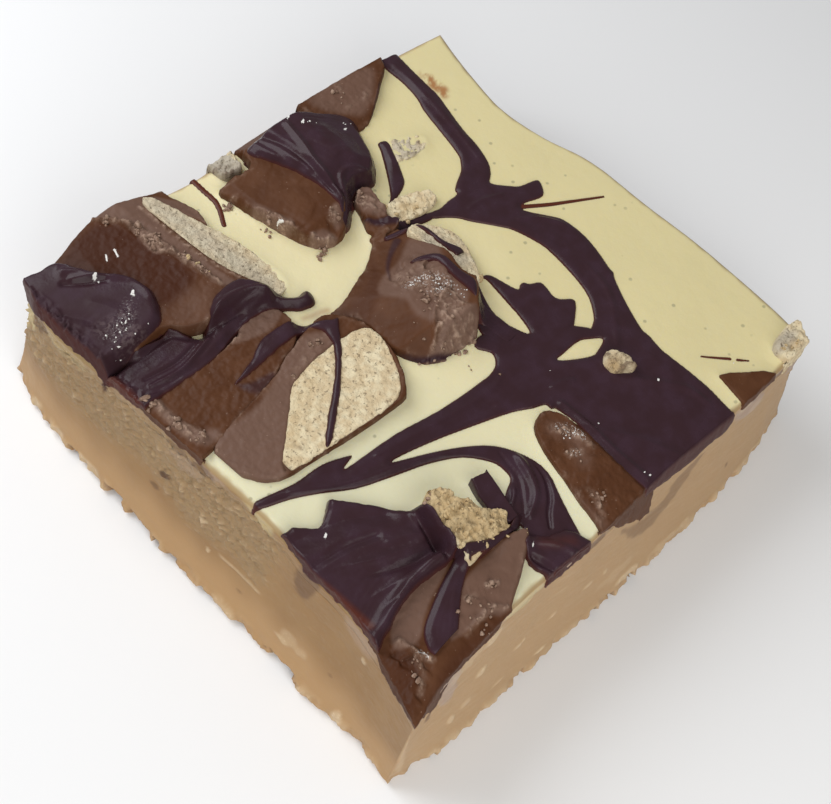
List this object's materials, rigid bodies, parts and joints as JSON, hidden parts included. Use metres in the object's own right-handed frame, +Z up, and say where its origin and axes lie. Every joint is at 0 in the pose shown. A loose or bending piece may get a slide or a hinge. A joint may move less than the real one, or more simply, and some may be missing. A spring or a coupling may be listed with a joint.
{
  "type": "peanut butter fudge square",
  "caption": "Square of tan peanut butter fudge with slumped cut sides and a cream topping marbled with dark chocolate, pressed with chopped chocolate cups.",
  "frame": {"origin": "centre of the underside's bounding box, on the table", "axes": "+Z up, +X along the front cut, +Y from the front cut to the back cut"},
  "size_m": [0.0729, 0.0693, 0.0216],
  "materials": {
    "fudge": "soft satin, torn on the cut sides",
    "cream_topping": "satin",
    "milk_chocolate": "satin, scuffed",
    "dark_chocolate": "semi-gloss",
    "peanut_filling": "crumbly matte"
  },
  "bodies": {
    "root": {"fudge_base": "fudge", "white_topping": "cream_topping", "left_cup_shell": "milk_chocolate", "back_chunk": "milk_chocolate", "back_right_chunk": "milk_chocolate", "middle_cup_shell": "milk_chocolate", "upper_chunk": "milk_chocolate", "lower_cup_shell": "milk_chocolate", "edge_chunk": "milk_chocolate", "corner_chunk": "milk_chocolate", "front_chunk": "milk_chocolate", "flush_chunk": "milk_chocolate", "dark_shard": "dark_chocolate", "left_cup_filling": "peanut_filling", "middle_cup_filling": "peanut_filling", "upper_crumb": "peanut_filling", "lower_cup_filling": "peanut_filling", "standing_crumb": "peanut_filling", "corner_crumb": "peanut_filling", "pool_crumb": "peanut_filling", "pale_crumb": "peanut_filling", "sunk_crumb": "peanut_filling"}
  },
  "joints": []
}
